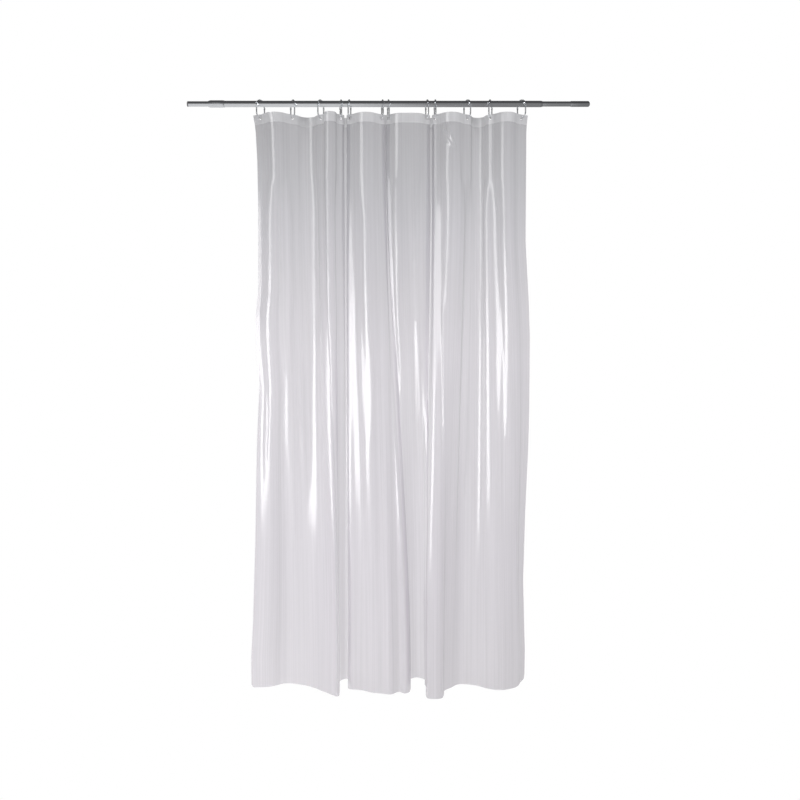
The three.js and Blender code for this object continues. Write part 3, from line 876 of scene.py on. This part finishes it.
def make_spring():
    start, end = ends_mm("tension_spring")
    wire, turns, steps, sides = 0.9, 12, 30, 10
    radius = 8.0 - wire
    count = turns * steps
    verts, faces = [], []
    for i in range(count + 1):
        t = i / count
        a = 2 * math.pi * turns * t
        x = start + wire + t * (end - start - 2 * wire)
        for k in range(sides):
            b = 2 * math.pi * k / sides
            r = radius + wire * math.cos(b)
            verts.append(((x + wire * math.sin(b)) * MM, r * math.cos(a) * MM, r * math.sin(a) * MM))
    for i in range(count):
        for k in range(sides):
            m = (k + 1) % sides
            faces.append((i * sides + k, i * sides + m, (i + 1) * sides + m, (i + 1) * sides + k))
    faces.append(tuple(range(sides)))
    faces.append(tuple(count * sides + k for k in range(sides))[::-1])
    spring = new_piece(
        "coil_spring", verts, faces, SPRING_STEEL, "main_tube", "spring_steel", ["tension_spring"]
    )
    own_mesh(spring)


make_tubes()
make_collar()
make_reducer()
make_cap()
colour_plain_parts()
make_spring()

for piece in (film, header):
    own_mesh(piece)
    # Clear film hardly shades itself: the light that falls on it goes on through its folds,
    # and one fold doesn't hide the windows from the next.
    piece.visible_diffuse = False
    piece.visible_shadow = False
    piece.visible_glossy = False


# ---------------------------------------------------------------- stage and light
def make_floor():
    """A pale floor, evenly white to look at. The light it sends up falls off to the right."""
    bpy.ops.mesh.primitive_plane_add(size=60, location=(0.7, 10, -2.32))
    floor = bpy.context.object
    floor.name = "floor"
    m = bpy.data.materials.new("pale_floor")
    m.use_nodes = True
    tree = m.node_tree
    tree.nodes.clear()
    add, link = tree.nodes.new, tree.links.new
    out, glow = add("ShaderNodeOutputMaterial"), add("ShaderNodeEmission")
    path, fall = add("ShaderNodeLightPath"), add("ShaderNodeMapRange")
    at, split = add("ShaderNodeTexCoord"), add("ShaderNodeSeparateXYZ")
    link(at.outputs["Object"], split.inputs["Vector"])
    link(split.outputs["X"], fall.inputs["Value"])
    set_range(fall, -0.6, 0.7, 0.95, 0.3)
    strength = add("ShaderNodeMath")
    strength.operation = "MAXIMUM"
    link(fall.outputs["Result"], strength.inputs[0])
    link(path.outputs["Is Camera Ray"], strength.inputs[1])
    link(strength.outputs["Value"], glow.inputs["Strength"])
    link(glow.outputs["Emission"], out.inputs["Surface"])
    floor.data.materials.append(m)


def make_world():
    """White to look at; what gloss reflects is darker overhead and lighter below."""
    world = bpy.data.worlds.new("studio")
    bpy.context.scene.world = world
    world.use_nodes = True
    tree = world.node_tree
    tree.nodes.clear()
    add, link = tree.nodes.new, tree.links.new
    out = add("ShaderNodeOutputWorld")
    seen, lit = add("ShaderNodeBackground"), add("ShaderNodeBackground")
    mix, path = add("ShaderNodeMixShader"), add("ShaderNodeLightPath")
    at, split = add("ShaderNodeTexCoord"), add("ShaderNodeSeparateXYZ")
    half, ramp = add("ShaderNodeMapRange"), add("ShaderNodeValToRGB")
    seen.inputs["Color"].default_value = (1, 1, 1, 1)
    link(at.outputs["Generated"], split.inputs["Vector"])
    link(split.outputs["Z"], half.inputs["Value"])
    set_range(half, -1, 1, 0, 1)
    link(half.outputs["Result"], ramp.inputs["Fac"])
    brightness = [(0.0, 0.75), (0.42, 0.55), (0.52, 0.3), (0.7, 0.12), (1.0, 0.1)]
    fill_ramp(ramp, [(place, (value, value, value * 1.01)) for place, value in brightness])
    even = add("ShaderNodeMix")
    even.data_type = "RGBA"
    even.inputs["B"].default_value = (0.95, 0.95, 0.95, 1)
    link(path.outputs["Is Diffuse Ray"], even.inputs["Factor"])
    link(ramp.outputs["Color"], even.inputs["A"])
    link(even.outputs["Result"], lit.inputs["Color"])
    link(path.outputs["Is Camera Ray"], mix.inputs["Fac"])
    link(lit.outputs["Background"], mix.inputs[1])
    link(seen.outputs["Background"], mix.inputs[2])
    link(mix.outputs["Shader"], out.inputs["Surface"])


CLEAR_PIECES = bpy.data.collections.new("clear_pieces")
for piece in (film, header, *rings):
    CLEAR_PIECES.objects.link(piece)


def softbox(name, place, aim, size, power, mirrored=True):
    """A rectangular lamp: one that only the clear pieces' gloss mirrors, or one that only lights."""
    data = bpy.data.lights.new(name, "AREA")
    data.shape = "RECTANGLE"
    data.size, data.size_y = size
    data.energy = power
    lamp = bpy.data.objects.new(name, data)
    lamp.location = place
    lamp.rotation_euler = (Vector(aim) - Vector(place)).to_track_quat("-Z", "Y").to_euler()
    lamp.visible_diffuse = not mirrored
    lamp.visible_glossy = mirrored
    lamp.visible_camera = False
    if mirrored:
        lamp.light_linking.receiver_collection = CLEAR_PIECES
    bpy.context.scene.collection.objects.link(lamp)


make_floor()
make_world()
softbox("window_low", (-2.9, -2.4, -1.46), (0.7, 0, -1.46), (3.0, 1.68), 135)
softbox("window_high", (-2.9, -2.4, 0.22), (0.7, 0, 0.22), (2.6, 1.6), 56)
softbox("left_fill", (-2.5, -3.0, -2.1), (0.4, 0, -2.0), (1.6, 1.2), 24, mirrored=False)
softbox("hem_fill", (-0.9, -1.3, -2.3), (0.35, 0, -2.1), (0.6, 0.5), 9, mirrored=False)
softbox("right_fill", (2.4, -2.0, 1.6), (1.0, 0, -0.1), (1.2, 1.2), 56, mirrored=False)

scene = bpy.context.scene
scene.view_settings.view_transform = "Standard"
scene.view_settings.look = "None"
scene.cycles.max_bounces = 12
scene.cycles.transparent_max_bounces = 24
